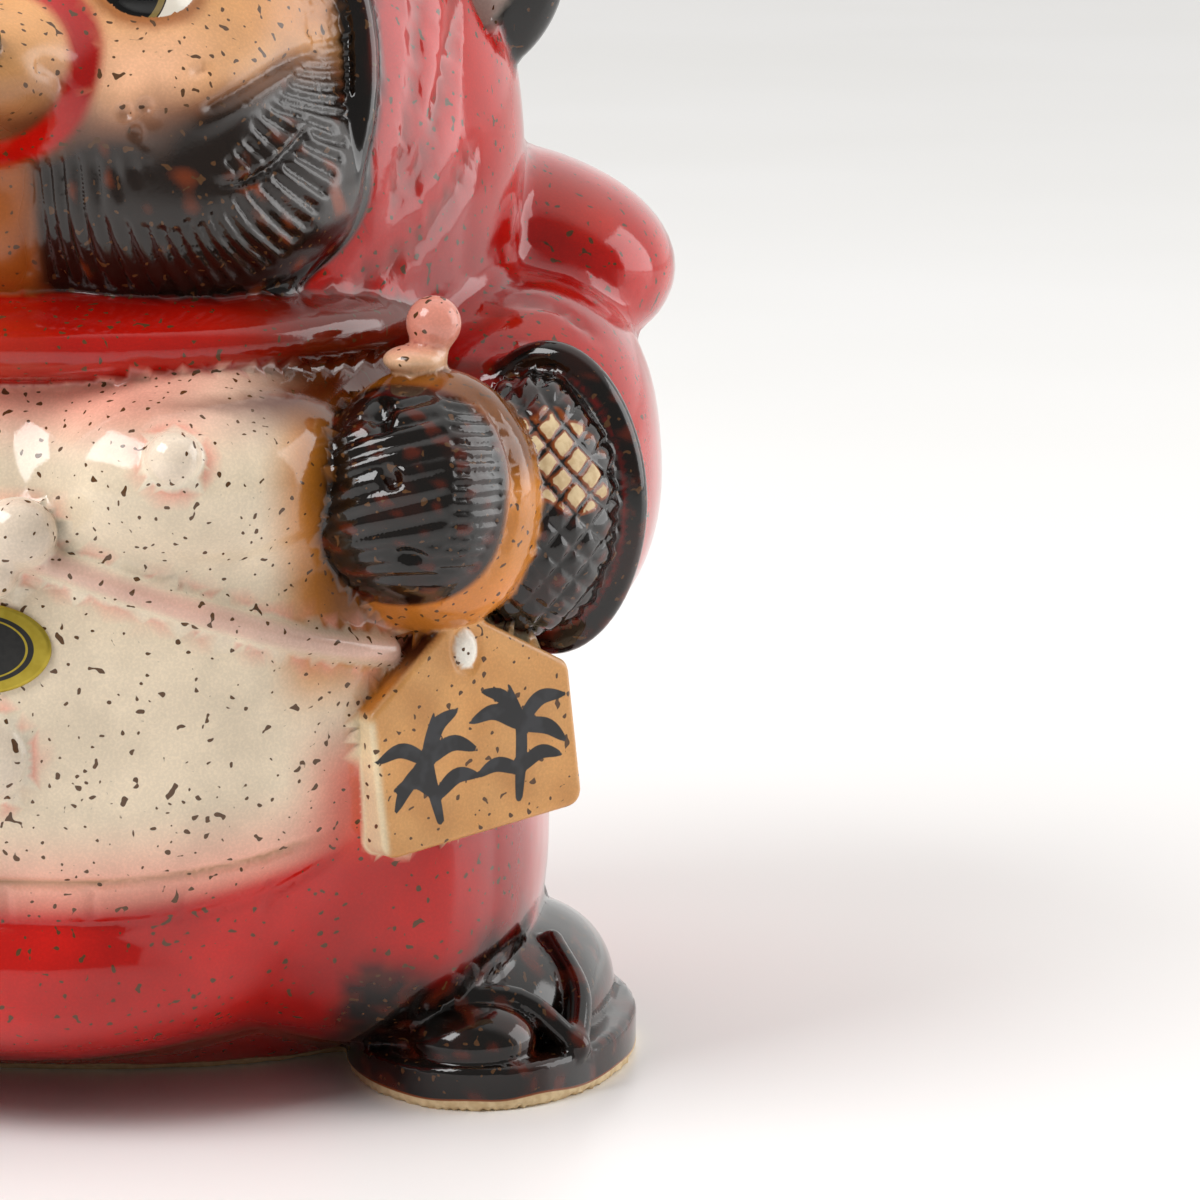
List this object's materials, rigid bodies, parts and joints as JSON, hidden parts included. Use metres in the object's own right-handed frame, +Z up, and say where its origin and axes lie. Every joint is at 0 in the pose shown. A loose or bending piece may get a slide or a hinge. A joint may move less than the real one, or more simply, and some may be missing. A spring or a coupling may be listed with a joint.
{
  "type": "ceramic tanuki figurine",
  "caption": "Standing glazed ceramic raccoon dog in a red hood and trousers, with a flask in one paw, a house-shaped tablet at the hip and a blank oval label on the belly.",
  "frame": {"origin": "centre of the bounding box, at the bottom of the feet", "axes": "+Z up, -Y the way the figure faces, +X its left side"},
  "size_m": [0.1792, 0.1592, 0.206],
  "materials": {
    "glazed_ceramic": "glossy",
    "label_foil": "satin"
  },
  "bodies": {
    "root": {"tanuki_figure": "glazed_ceramic", "oval_label": "label_foil"}
  },
  "joints": []
}
